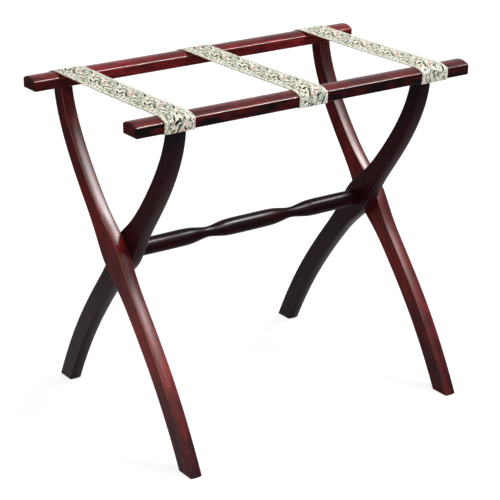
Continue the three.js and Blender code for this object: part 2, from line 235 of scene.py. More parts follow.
def add_wood(name, node, rings, grain, shift, wood, body, stain_and_shade=0.0, edge_highlight=0.0):
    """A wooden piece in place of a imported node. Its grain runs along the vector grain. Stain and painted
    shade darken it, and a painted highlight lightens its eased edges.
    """
    points, faces = loft(rings)
    piece = add_piece(name, points, faces, wood)
    along = np.array(grain, float) / np.linalg.norm(grain)
    across = np.array((1.0, 0.0, 0.0)) if abs(along[0]) < 0.5 else np.array((0.0, 1.0, 0.0))
    through = np.cross(along, across)
    board = points @ np.stack([along, across, through], axis=1)
    add_vectors(piece, "grain", board + np.array(shift))
    # Stain and painted shade for each vertex; the end faces take the end grain's own stain
    depth = np.ones((len(rings), len(rings[0]))) * stain_and_shade
    depth[0] = END_STAIN
    depth[-1] = END_STAIN
    # Painted highlight along the eased edges, none on the end faces
    painted_edge_glint = np.ones(depth.shape) * edge_highlight
    painted_edge_glint[0] = 0
    painted_edge_glint[-1] = 0
    add_vectors(piece, "stain_shade_and_edge_highlight", np.stack([depth, painted_edge_glint, np.zeros(depth.shape)], axis=-1))
    even = piece.modifiers.new("even_normals", "WEIGHTED_NORMAL")
    even.keep_sharp = True
    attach(piece, body)
    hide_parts(node)
    return piece


def eased(first, corner, second, steps):
    """A rounded corner from first to second, as a curve drawn towards the corner."""
    first, corner, second = (np.array(p, float) for p in (first, corner, second))
    shares = np.linspace(0, 1, steps + 1)[:, None]
    return (1 - shares) ** 2 * first + 2 * shares * (1 - shares) * corner + shares**2 * second


def edge_highlight_band(plain_before, plain_after):
    """Painted highlight over one eased edge, between so many plain points on each side of it."""
    return [0.0] * plain_before + [0.0] + [1.0] * (EASE_POINTS - 1) + [0.0] + [0.0] * plain_after


# Legs

def upright(degrees):
    """The direction, in (y, z), that leans this far from upright."""
    angle = math.radians(degrees)
    return np.array((math.sin(angle), math.cos(angle)))


def bezier(a, b, c, d, shares):
    """Points and unit directions along a cubic curve."""
    t = np.asarray(shares)[:, None]
    points = (1 - t) ** 3 * a + 3 * t * (1 - t) ** 2 * b + 3 * t**2 * (1 - t) * c + t**3 * d
    along = (1 - t) ** 2 * (b - a) + 2 * t * (1 - t) * (c - b) + t**2 * (d - c)
    return points, along / np.linalg.norm(along, axis=1)[:, None]


def leg_stations(top):
    """Middle points, directions and widths of a leg from its foot to its top."""
    pivot = np.array((0.0, PIVOT_Z))
    head = np.array((RAIL_Y - LEG_INSET, top))
    foot = np.array((-FOOT_SPREAD / 2, 0.0))
    lower = bezier(
        foot,
        foot + LEG_LOWER_BEND * upright(LEG_ANGLE_FOOT),
        pivot - LEG_LOWER_BEND * upright(LEG_ANGLE_PIVOT),
        pivot,
        np.linspace(0, 1, LEG_RINGS + 1),
    )
    upper = bezier(
        pivot,
        pivot + LEG_UPPER_BEND * upright(LEG_ANGLE_PIVOT),
        head - LEG_UPPER_BEND * upright(LEG_ANGLE_TOP),
        head,
        np.linspace(0, 1, LEG_RINGS + 1),
    )
    shares = np.linspace(0, 1, LEG_RINGS + 1)
    middle = np.concatenate([lower[0], upper[0][1:]])
    along = np.concatenate([lower[1], upper[1][1:]])
    plain = np.concatenate(
        [
            LEG_WIDTH_FOOT + (LEG_WIDTH_PIVOT - LEG_WIDTH_FOOT) * shares,
            LEG_WIDTH_PIVOT + (LEG_WIDTH_TOP - LEG_WIDTH_PIVOT) * shares[1:],
        ]
    )
    from_pivot = np.linalg.norm(middle - pivot, axis=1)
    return middle, along, plain + LEG_SWELL * np.exp(-((from_pivot / LEG_SWELL_REACH) ** 2))


def leg_section(thickness, width):
    """Points round a leg as (across, out): flat sides, crowned narrow faces and eased edges."""
    half = thickness / 2
    edge = width / 2
    inner = half - LEG_EASE

    def crown(across):
        return edge + LEG_CROWN * (1 - (across / half) ** 2)

    start = eased((half, edge - LEG_EASE), (half, edge), (inner, crown(inner)), EASE_POINTS)
    middle = np.linspace(inner, -inner, CROWN_POINTS + 1)[1:-1]
    face = np.concatenate(
        [
            start,
            np.stack([middle, crown(middle)], axis=1),
            start[::-1] * (-1, 1),
        ]
    )
    return np.concatenate([face, -face])


def leg_ring(section, middle, along):
    """A section set square to the leg's direction, as (x, y, z)."""
    across, out = section.T
    y = middle[0] - out * along[1]
    z = middle[1] + out * along[0]
    return np.stack([across, y, z], axis=1)


def slid_to(ring, along, height):
    """The ring with its points slid along the leg's direction to one height."""
    step = (height - ring[:, 2]) / along[1]
    moved = ring.copy()
    moved[:, 1] += step * along[0]
    moved[:, 2] = height
    return moved


def leg_rings(thickness, top):
    """Rings of a leg whose sole and top are level, with the sole's rim eased."""
    middle, along, width = leg_stations(top)
    rings = []
    for step in range(EASE_POINTS + 1):
        turn = math.pi / 2 * step / EASE_POINTS
        inset = FOOT_EASE * (1 - math.sin(turn))
        height = FOOT_EASE * (1 - math.cos(turn))
        section = leg_section(thickness - 2 * inset, width[0] - 2 * inset)
        rings.append(slid_to(leg_ring(section, middle[0], along[0]), along[0], height))
    for place, direction, wide in zip(middle, along, width):
        ring = leg_ring(leg_section(thickness, wide), place, direction)
        if ring[:, 2].min() > 3 * FOOT_EASE and ring[:, 2].max() < top - FOOT_EASE:
            rings.append(ring)
    last = leg_ring(leg_section(thickness, width[-1]), middle[-1], along[-1])
    rings.append(slid_to(last, along[-1], top))
    return rings


def add_leg(node, facing, body, shift, wood, stains_and_shade):
    low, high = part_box(node)
    rings = leg_rings(high.x - low.x, high.z)
    placed = [ring * (1, facing, 1) + ((low.x + high.x) / 2, 0, 0) for ring in rings]
    run = (0, facing * (RAIL_Y - LEG_INSET + FOOT_SPREAD / 2), high.z)
    # Stain and painted shade by height
    heights, depths = np.array(stains_and_shade).T
    stain_and_shade = np.interp([ring[:, 2] / MM for ring in placed], heights, depths)
    # Painted highlight along the leg's eased edges, growing from the foot upwards
    edges = edge_highlight_band(0, CROWN_POINTS - 1) + edge_highlight_band(0, 0)
    kept = np.interp([ring[:, 2] / MM for ring in placed], *FOOT_EDGE_HIGHLIGHT)
    add_wood(f"{node}_wood", node, placed, run, shift, wood, body, stain_and_shade, kept * (edges + edges))


# Rails and stretcher

def crown_point(angle, offset=0.0):
    """A point over a rail's middle, in (y, z), at this angle round the crown's arc."""
    radius = RAIL_ARC + offset
    return np.array((radius * math.sin(angle), RAIL_ARC_Z + radius * math.cos(angle)))


def rail_section():
    """Points round a rail about its middle, as (y, z)."""
    side_top = RAIL_BOTTOM + RAIL_SIDE
    ease_turn = RAIL_EASE / RAIL_ARC
    lower = eased(
        (RAIL_HALF - RAIL_EASE, RAIL_BOTTOM),
        (RAIL_HALF, RAIL_BOTTOM),
        (RAIL_HALF, RAIL_BOTTOM + RAIL_EASE),
        EASE_POINTS,
    )
    upper = eased(
        (RAIL_HALF, side_top - RAIL_EASE),
        (RAIL_HALF, side_top),
        crown_point(RAIL_ARC_HALF - ease_turn),
        EASE_POINTS,
    )
    turns = np.linspace(RAIL_ARC_HALF - ease_turn, 0, RAIL_CROWN_POINTS // 2 + 1)[1:]
    half = np.concatenate([lower, upper, [crown_point(turn) for turn in turns]])
    return np.concatenate([half, half[-2::-1] * (-1, 1)])


def add_rail(node, facing, shift, stains_and_shade):
    low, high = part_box(node)
    section = rail_section()
    middle = np.array((0.0, (RAIL_BOTTOM + RAIL_TOP) / 2))
    half_size = np.array((RAIL_HALF, (RAIL_TOP - RAIL_BOTTOM) / 2))
    stops = []
    for step in range(EASE_POINTS + 1):
        turn = math.pi / 2 * step / EASE_POINTS
        stops.append((RAIL_END_ROUND * (1 - math.cos(turn)), RAIL_END_ROUND * (1 - math.sin(turn))))
    length = high.x - low.x
    inner = np.linspace(RAIL_END_ROUND, length - RAIL_END_ROUND, RAIL_RINGS)[1:-1]
    stops += [(along, 0.0) for along in inner]
    stops += [(length - along, inset) for along, inset in stops[EASE_POINTS::-1]]
    rings = []
    for along, inset in stops:
        shrunk = middle + (section - middle) * (1 - inset / half_size)
        x = np.full((len(section), 1), low.x + along)
        rings.append(np.hstack([x, shrunk + (facing * RAIL_Y, 0)]))
    # Sides and underside take the second, darker value: painted shade
    on_side = section[:, 1] < RAIL_BOTTOM + RAIL_SIDE - RAIL_EASE / 2
    stain_and_shade = np.where(on_side, stains_and_shade[1], stains_and_shade[0])
    # Painted highlight along the rail's eased edges
    edge_highlight = edge_highlight_band(0, 0) + edge_highlight_band(0, RAIL_CROWN_POINTS // 2)
    edge_highlight = RAIL_EDGE_HIGHLIGHT * np.array(edge_highlight + edge_highlight[-2::-1])
    wood = rail_mahogany
    add_wood(f"{node}_wood", node, rings, (1, 0, 0), shift, wood, FRAME_OF_RAIL[facing], stain_and_shade, edge_highlight)


def stretcher_radius(x, shoulder):
    """Radius at a distance from the middle: full bulges with a neck each side."""
    reach = abs(x)
    neck = math.exp(-(((reach - NECK_OFFSET) / NECK_REACH) ** 2))
    beyond = max(0.0, reach - NECK_OFFSET) / (shoulder - NECK_OFFSET)
    narrowed = (STRETCHER_BULGE - STRETCHER_NECK) * neck
    tapered = (STRETCHER_BULGE - STRETCHER_SHOULDER) * beyond**SHOULDER_EASE
    return (STRETCHER_BULGE - narrowed - tapered) / 2


def round_ring(radius, sides):
    turns = np.linspace(0, 2 * math.pi, sides, endpoint=False)
    return radius * np.stack([np.cos(turns), np.sin(turns)], axis=1)


def add_stretcher(shift):
    low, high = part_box("stretcher")
    shoulder = -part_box("inner_leg_left")[1].x - SHOULDER_GAP
    tenon = TENON_DIAMETER / 2
    half = [(tenon - TENON_CHAMFER, high.x), (tenon, high.x - TENON_CHAMFER), (tenon, shoulder)]
    body = [(stretcher_radius(x, shoulder), x) for x in np.linspace(shoulder, -shoulder, STRETCHER_RINGS)]
    profile = half + body + [(radius, -x) for radius, x in reversed(half)]
    rings = []
    for radius, x in profile:
        circle = round_ring(radius, STRETCHER_SIDES) + (0, PIVOT_Z)
        rings.append(np.hstack([np.full((STRETCHER_SIDES, 1), x), circle]))
    add_wood("stretcher_wood", "stretcher", rings, (1, 0, 0), shift, turned_mahogany, OUTER)


# Tacks

def add_tack(node, body):
    """A domed tack over a packed one, on the same axis and of the same height."""
    low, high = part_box(node)
    middle = (low + high) / 2
    head = (high.x - low.x) / 2
    dome = 1.8 * MM
    shank = 1 * MM
    seat = low.z + dome
    turns = np.linspace(0, math.pi / 2, TACK_HEAD_STEPS + 1)[1:]
    profile = [(head * math.sin(turn), seat - dome * math.cos(turn)) for turn in turns]
    profile += [(shank, seat), (shank, high.z - 3 * MM), (0.1 * MM, high.z)]
    rings = []
    for radius, z in profile:
        circle = round_ring(radius, TACK_SIDES) + (middle.x, middle.y)
        rings.append(np.hstack([circle, np.full((TACK_SIDES, 1), z)]))
    points, faces = loft(rings)
    piece = add_piece(f"{node}_brass", points, faces, brass)
    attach(piece, body)
    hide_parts(node)


# Straps

def strap_line():
    """The middle of a strap's thickness from its rear end to its front end, as (y, z)."""
    offset = STRAP_GAP + STRAP_THICKNESS / 2
    outer = RAIL_Y + RAIL_HALF
    side_top = RAIL_BOTTOM + RAIL_SIDE

    def bend(z, start, stop):
        turns = np.linspace(start, stop, EASE_POINTS + 2)
        return [(outer + offset * math.sin(t), z + offset * math.cos(t)) for t in turns]

    def run(start, stop):
        steps = max(2, round(math.dist(start, stop) / WEAVE_STEP))
        return list(np.linspace(start, stop, steps + 1)[1:-1])

    tuck = [(outer - STRAP_TUCK, RAIL_BOTTOM - offset)]
    low_bend = bend(RAIL_BOTTOM, math.pi, math.pi / 2)
    high_bend = bend(side_top, math.pi / 2, RAIL_ARC_HALF)
    crown = [crown_point(turn, offset) + (RAIL_Y, 0) for turn in np.linspace(RAIL_ARC_HALF, 0, 9)[1:]]
    crease = (RAIL_Y * (1 - 2 * FOLD_SHARE), crown[-1][1])
    wrap = low_bend + run(low_bend[-1], high_bend[0]) + high_bend + crown
    rear = tuck + run(tuck[0], low_bend[0]) + wrap + run(crown[-1], crease) + [crease]
    rear = np.array(rear)
    outward = np.clip((rear[:, 0] - RAIL_Y) / RAIL_HALF, 0, 1)
    height = np.clip((rear[:, 1] - RAIL_BOTTOM) / (RAIL_TOP - RAIL_BOTTOM), 0, 1)
    loose = STRAP_BULGE * outward**3 * np.sin(height * math.pi / 2)
    rear[:, 0] += loose * np.sin(height * math.pi) ** 0.5
    rear[:, 1] += loose * 0.5 * height**2
    front = rear[::-1] * (-1, 1)
    middle = np.concatenate([rear[-1:], run(rear[-1], front[0]), front[:1]])
    for line in (rear, middle, front):
        between = np.clip(1 - (line[:, 0] / RAIL_Y) ** 2, 0, 1)
        line[:, 1] -= STRAP_SAG * between**2
    return rear, middle, front


def strap_tab(low, high, leg):
    """The part of a strap's width that passes beside a leg, under the rail."""
    leg_low, leg_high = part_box(leg)
    left = leg_low.x - NOTCH_CLEARANCE
    right = leg_high.x + NOTCH_CLEARANCE
    if high <= left or low >= right:
        return low, high
    return (low, left) if left - low > high - right else (right, high)


def strap_columns(low, high, tab):
    """Places across a strap, with one at each side of its tab."""
    stops = sorted({low, *tab, high})
    columns = [stops[0]]
    for start, stop in zip(stops, stops[1:]):
        steps = max(1, round((stop - start) / WEAVE_STEP))
        columns += list(np.linspace(start, stop, steps + 1)[1:])
    return np.array(columns)


def strap_sheet(name, line, run, low, high, tab=None):
    """A strip of cloth along a line in (y, z). Under the rail only the tab's width is left."""
    columns = strap_columns(low, high, tab or (low, high))
    count = len(columns)
    points = np.array([(x, y, z) for y, z in line for x in columns])
    cloth = np.array([(s, x - (low + high) / 2, 0.0) for s in run for x in columns])
    faces = []
    for i in range(len(line) - 1):
        below = max(line[i][1], line[i + 1][1]) < RAIL_BOTTOM - STRAP_GAP
        under = below and max(abs(line[i][0]), abs(line[i + 1][0])) <= RAIL_Y + RAIL_HALF
        for j in range(count - 1):
            middle = (columns[j] + columns[j + 1]) / 2
            if under and tab and not tab[0] < middle < tab[1]:
                continue
            start = i * count + j
            faces.append((start, start + 1, start + count + 1, start + count))
    used = sorted({i for face in faces for i in face})
    place = {old: new for new, old in enumerate(used)}
    faces = [tuple(place[i] for i in face) for face in faces]
    piece = add_piece(name, points[used], faces, jacquard)
    add_vectors(piece, "cloth", cloth[used])
    thick = piece.modifiers.new("thickness", "SOLIDIFY")
    thick.thickness = STRAP_THICKNESS
    thick.offset = 0
    thick.use_even_offset = True
    corners = [points[used][list(face)] for face in faces]
    area = sum(np.linalg.norm(np.cross(c[2] - c[0], c[3] - c[1])) / 2 for c in corners)
    return piece, float(area)


def smooth_share(turn):
    """The share of a smooth step's length at which it has made this much of its turn."""
    return 0.5 - math.sin(math.asin(1 - 2 * turn) / 3)


def add_strap(side):
    """One strap in three strips: an end over each rail and the span between them."""
    low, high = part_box(f"strap_{side}")
    legs = {"left": "left", "centre": "right", "right": "right"}[side]
    lines = strap_line()
    whole = np.concatenate([lines[0], lines[1][1:], lines[2][1:]])
    steps = np.linalg.norm(np.diff(whole, axis=0), axis=1)
    run = np.concatenate([[0.0], np.cumsum(steps)])
    run += PATTERN_START[side] - run[-1] / 2
    first = len(lines[0])
    second = first + len(lines[1]) - 1
    runs = run[:first], run[first - 1:second], run[second - 1:]
    top = lines[1][0][1]
    span = 2 * RAIL_Y
    for facing, line, length, frame_leg in (
        (1, lines[0], runs[0], "outer"),
        (-1, lines[2], runs[2], "inner"),
    ):
        place = {1: "rear", -1: "front"}[facing]
        tab = strap_tab(low.x, high.x, f"{frame_leg}_leg_{legs}")
        name = f"strap_{side}_{place}_end"
        piece, area = strap_sheet(name, line, length, low.x, high.x, tab)
        reach = FOLD_SHARE * span / smooth_share(FOLD_TURN) / (1 + TUCK_TILT**2)
        start = Vector((0, facing * RAIL_Y, top))
        stop = start + Vector((0, -facing * reach, reach * TUCK_TILT))
        FRAME_OF_RAIL[-facing]
        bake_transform(piece)
        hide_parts(f"strap_{side}")
        flat = (high.x - low.x, float(length[-1] - length[0]))
        area = min(area, flat[0] * flat[1])
    piece, area = strap_sheet(f"strap_{side}_span", lines[1], runs[1], low.x, high.x)
    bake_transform(piece)
    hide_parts(f"strap_{side}")
    flat = (high.x - low.x, float(runs[1][-1] - runs[1][0]))


# Materials

class Field:
    """A number that varies over a surface: a shader socket with ordinary arithmetic."""

    def __init__(self, tree, socket):
        self.tree = tree
        self.socket = socket

    def math(self, operation, *others):
        node = self.tree.nodes.new("ShaderNodeMath")
        node.operation = operation
        for entry, value in zip(node.inputs, (self, *others)):
            plug(self.tree, entry, value)
        return Field(self.tree, node.outputs[0])

    def __add__(self, other):
        return self.math("ADD", other)

    def __sub__(self, other):
        return self.math("SUBTRACT", other)

    def __mul__(self, other):
        return self.math("MULTIPLY", other)

    def __truediv__(self, other):
        return self.math("DIVIDE", other)

    def size(self):
        return self.math("ABSOLUTE")

    def step(self, low, high, start=0.0, stop=1.0):
        """Rises smoothly from start to stop as this number goes from low to high."""
        node = self.tree.nodes.new("ShaderNodeMapRange")
        node.interpolation_type = "SMOOTHSTEP"
        for entry, value in zip(node.inputs, (self, low, high, start, stop)):
            plug(self.tree, entry, value)
        return Field(self.tree, node.outputs[0])


def plug(tree, entry, value):
    """Links a field or socket to an input, or sets a plain value on it."""
    if isinstance(value, Field):
        tree.links.new(value.socket, entry)
    elif isinstance(value, bpy.types.NodeSocket):
        tree.links.new(value, entry)
    else:
        entry.default_value = value


def new_material(name):
    """A material with its Principled shader, and a way to add nodes to it."""
    material = bpy.data.materials.new(name)
    material.use_nodes = True
    tree = material.node_tree
    return material, tree, tree.nodes["Principled BSDF"]


def vector_of(tree, attribute):
    """The vector kept on the mesh under this name."""
    node = tree.nodes.new("ShaderNodeAttribute")
    node.attribute_name = attribute
    return node.outputs["Vector"]


def scaled(tree, vector, scale):
    node = tree.nodes.new("ShaderNodeVectorMath")
    node.operation = "MULTIPLY"
    plug(tree, node.inputs[0], vector)
    node.inputs[1].default_value = scale
    return node.outputs[0]


def parts_of(tree, vector):
    node = tree.nodes.new("ShaderNodeSeparateXYZ")
    plug(tree, node.inputs[0], vector)
    return [Field(tree, out) for out in node.outputs]


def noise(tree, vector, scale, detail=3.0, roughness=0.5, distortion=0.0):
    node = tree.nodes.new("ShaderNodeTexNoise")
    plug(tree, node.inputs["Vector"], vector)
    node.inputs["Scale"].default_value = scale
    node.inputs["Detail"].default_value = detail
    node.inputs["Roughness"].default_value = roughness
    node.inputs["Distortion"].default_value = distortion
    return Field(tree, node.outputs["Fac"])


def mixed(tree, share, first, second):
    """A colour between two, by a share that is a field."""
    node = tree.nodes.new("ShaderNodeMix")
    node.data_type = "RGBA"
    for entry, value in ((0, share), (6, first), (7, second)):
        plug(tree, node.inputs[entry], value)
    return node.outputs[2]


def bump(tree, height, distance, strength):
    node = tree.nodes.new("ShaderNodeBump")
    node.inputs["Distance"].default_value = distance
    node.inputs["Strength"].default_value = strength
    plug(tree, node.inputs["Height"], height)
    return node.outputs["Normal"]


def colour(red, green, blue):
    """A colour given as it looks on screen, 0 to 255, in the linear numbers that shaders use."""
    def linear(value):
        share = value / 255
        return share / 12.92 if share <= 0.04045 else ((share + 0.055) / 1.055) ** 2.4

    return (linear(red), linear(green), linear(blue), 1.0)


# Wood tones: the lighter and the darker of the board, its ribbons, its pores, and the darkest tone that stain
# and painted shade go towards
BLACK_WOOD = colour(12, 6, 8)
RAIL_WOOD = colour(156, 41, 43), colour(96, 22, 26), colour(42, 10, 13), colour(26, 7, 9), BLACK_WOOD
LEG_WOOD = colour(160, 43, 39), colour(120, 29, 28), colour(76, 17, 18), colour(40, 10, 11), colour(36, 9, 15)
# Inner legs: the leg wood darkened as painted shade, with a bluish cast as a painted reflection of the floor
SHADED_INNER_WOOD = colour(62, 20, 25), colour(46, 15, 20), colour(30, 12, 16), colour(16, 9, 12), colour(24, 16, 26)
TURNED_WOOD = colour(50, 12, 16), colour(24, 8, 11), colour(14, 6, 9), colour(10, 5, 8), BLACK_WOOD
# Painted highlight along eased edges, standing for the glint of light on them
EDGE_HIGHLIGHT_WOOD = colour(205, 150, 138)
EDGE_HIGHLIGHT_DARK_WOOD = colour(56, 42, 44)


def make_mahogany(name, tones, painted_edge_glint, gloss, smooth, rough):
    """Stained mahogany under semi-gloss lacquer, with its grain along the board. Painted shade darkens it
    further, and a painted highlight lightens its eased edges.
    """
    material, tree, shader = new_material(name)
    light, dark, streak, pore, stain_and_shade_tone = tones
    grain = vector_of(tree, "grain")
    # For each vertex: stain with painted shade, then a painted highlight along eased edges
    stain_and_shade, edge_highlight, _ = parts_of(tree, vector_of(tree, "stain_shade_and_edge_highlight"))
    broad = noise(tree, scaled(tree, grain, (9, 40, 40)), 1.0, 4.0, 0.55, 0.6)
    ribbon = noise(tree, scaled(tree, grain, (24, 150, 150)), 1.0, 4.0, 0.6, 0.4)
    streaks = noise(tree, scaled(tree, grain, (40, 420, 420)), 1.0, 3.0, 0.6, 0.3)
    pores = noise(tree, scaled(tree, grain, (60, 1500, 1500)), 1.0, 2.0, 0.6)
    mottle = noise(tree, scaled(tree, grain, (26, 70, 70)), 1.0, 2.0, 0.5)
    tone = mixed(tree, broad.step(0.3, 0.7), dark, light)
    tone = mixed(tree, ribbon.step(0.42, 0.7, 0.0, 0.75), tone, streak)
    tone = mixed(tree, streaks.step(0.48, 0.64, 0.0, 0.7), tone, streak)
    tone = mixed(tree, pores.step(0.58, 0.72, 0.0, 0.55), tone, pore)
    # Darker towards the deepest tone, by stain and painted shade
    tone = mixed(tree, stain_and_shade * mottle.step(0.35, 0.65, 0.75, 1.08), tone, stain_and_shade_tone)
    # Painted highlight along eased edges, weaker where stain and painted shade are deep
    tone = mixed(tree, edge_highlight * mottle.step(0.3, 0.7, 0.4, 0.9) * (stain_and_shade * -0.7 + 1.0), tone, painted_edge_glint)
    plug(tree, shader.inputs["Base Color"], tone)
    plug(tree, shader.inputs["Roughness"], ribbon.step(0.3, 0.7, smooth, rough))
    plug(tree, shader.inputs["Normal"], bump(tree, pores, 0.05 * MM, 0.2))
    shader.inputs["Specular IOR Level"].default_value = gloss
    return material


def make_beech():
    """Bare turned beech, for the dowels inside the joints."""
    material, tree, shader = new_material("beech")
    place = tree.nodes.new("ShaderNodeTexCoord").outputs["Object"]
    fleck = noise(tree, scaled(tree, place, (900, 900, 60)), 1.0, 2.0)
    tone = mixed(tree, fleck.step(0.4, 0.7), colour(214, 180, 132), colour(176, 136, 92))
    plug(tree, shader.inputs["Base Color"], tone)
    shader.inputs["Roughness"].default_value = 0.7
    return material


def make_nylon():
    """Moulded dark nylon, for the pivot washers."""
    material, tree, shader = new_material("nylon")
    place = tree.nodes.new("ShaderNodeTexCoord").outputs["Object"]
    cloud = noise(tree, place, 300.0, 2.0)
    tone = mixed(tree, cloud, colour(36, 30, 28), colour(48, 40, 36))
    plug(tree, shader.inputs["Base Color"], tone)
    plug(tree, shader.inputs["Roughness"], cloud.step(0.3, 0.7, 0.45, 0.6))
    return material


def make_brass():
    """Antiqued brass, dark in the hollows."""
    material, tree, shader = new_material("antique_brass")
    place = tree.nodes.new("ShaderNodeTexCoord").outputs["Object"]
    tarnish = noise(tree, place, 700.0, 3.0, 0.6)
    tone = mixed(tree, tarnish.step(0.4, 0.65), colour(158, 122, 66), colour(84, 62, 36))
    plug(tree, shader.inputs["Base Color"], tone)
    plug(tree, shader.inputs["Roughness"], tarnish.step(0.3, 0.7, 0.28, 0.5))
    shader.inputs["Metallic"].default_value = 1.0
    return material


# Strap pattern, in millimetres on the cloth
REPEAT = 75.4
VINE_SWING = 7.0
VINE_START = -3.0
CREAM = colour(255, 251, 238)
STRAW = colour(246, 238, 210)
SAGE = colour(204, 214, 196)
MOSS = colour(54, 66, 56)
PINE = colour(34, 44, 36)
UMBER = colour(80, 62, 54)
INK = colour(38, 32, 30)
ROSE = colour(222, 180, 166)
BLUSH = colour(244, 220, 206)

# Scrolls drawn in outline: along and across the strap, half length, half width, turn in degrees
SCROLLS = (
    (16.0, -11.5, 12.0, 7.0, -18),
    (13.5, -12.0, 6.5, 3.4, -18),
    (53.0, 12.0, 12.0, 7.0, -18),
    (50.5, 11.5, 6.5, 3.4, -18),
    (69.0, -14.0, 6.5, 4.2, 15),
    (33.0, 15.5, 6.0, 3.8, 15),
    (3.0, 15.0, 6.0, 4.0, -15),
    (40.0, -17.5, 6.5, 3.4, -10),
    (64.0, 0.5, 4.4, 3.0, 30),
    (53.0, -6.0, 5.0, 4.0, -20),
)

# Leaves and petals: the same, with their tone
STROKES = (
    (42.0, 3.2, 6.0, 3.4, -26, BLUSH),
    (40.6, 4.2, 4.2, 2.2, -40, ROSE),
    (44.6, 1.6, 3.6, 1.6, 0, ROSE),
    (31.0, 11.6, 4.4, 2.4, -20, BLUSH),
    (18.5, -6.4, 8.5, 1.2, -30, PINE),
    (15.0, -15.4, 6.5, 0.8, -24, MOSS),
    (55.5, 16.6, 8.0, 1.3, -22, PINE),
    (46.5, 10.0, 5.0, 0.8, -50, MOSS),
    (27.0, -4.8, 5.0, 2.2, -58, PINE),
    (24.4, 0.8, 4.4, 1.4, 8, PINE),
    (31.5, 0.0, 3.6, 1.4, -75, PINE),
    (38.8, -10.4, 3.6, 1.5, -50, PINE),
    (36.8, -2.4, 4.4, 1.4, -20, INK),
    (43.5, -6.2, 5.0, 1.4, -36, UMBER),
    (37.4, 8.8, 4.4, 1.4, 20, INK),
    (46.0, 6.6, 3.8, 1.4, -48, INK),
    (42.6, 2.4, 3.8, 0.6, -10, UMBER),
    (54.0, -15.0, 3.2, 1.8, -70, UMBER),
    (60.0, -3.0, 5.0, 0.9, -60, MOSS),
    (67.0, 6.0, 4.6, 1.1, 30, UMBER),
    (61.5, -10.0, 4.6, 0.9, -20, MOSS),
    (9.6, 3.6, 4.2, 1.3, -36, UMBER),
    (12.0, 10.4, 4.6, 1.0, 24, MOSS),
    (3.5, -4.5, 5.0, 1.0, -50, MOSS),
    (71.5, 17.0, 3.4, 1.2, -60, UMBER),
    (24.5, 16.8, 4.0, 1.0, -24, MOSS),
    (14.5, 17.6, 4.4, 0.9, 10, MOSS),
    (74.0, -8.5, 4.0, 1.0, 40, MOSS),
    (29.5, -16.6, 4.6, 1.0, -40, MOSS),
    (5.0, 8.6, 3.2, 1.0, 60, PINE),
    (22.0, 8.4, 3.6, 1.1, -48, PINE),
    (68.0, -2.8, 3.2, 1.0, -10, PINE),
)


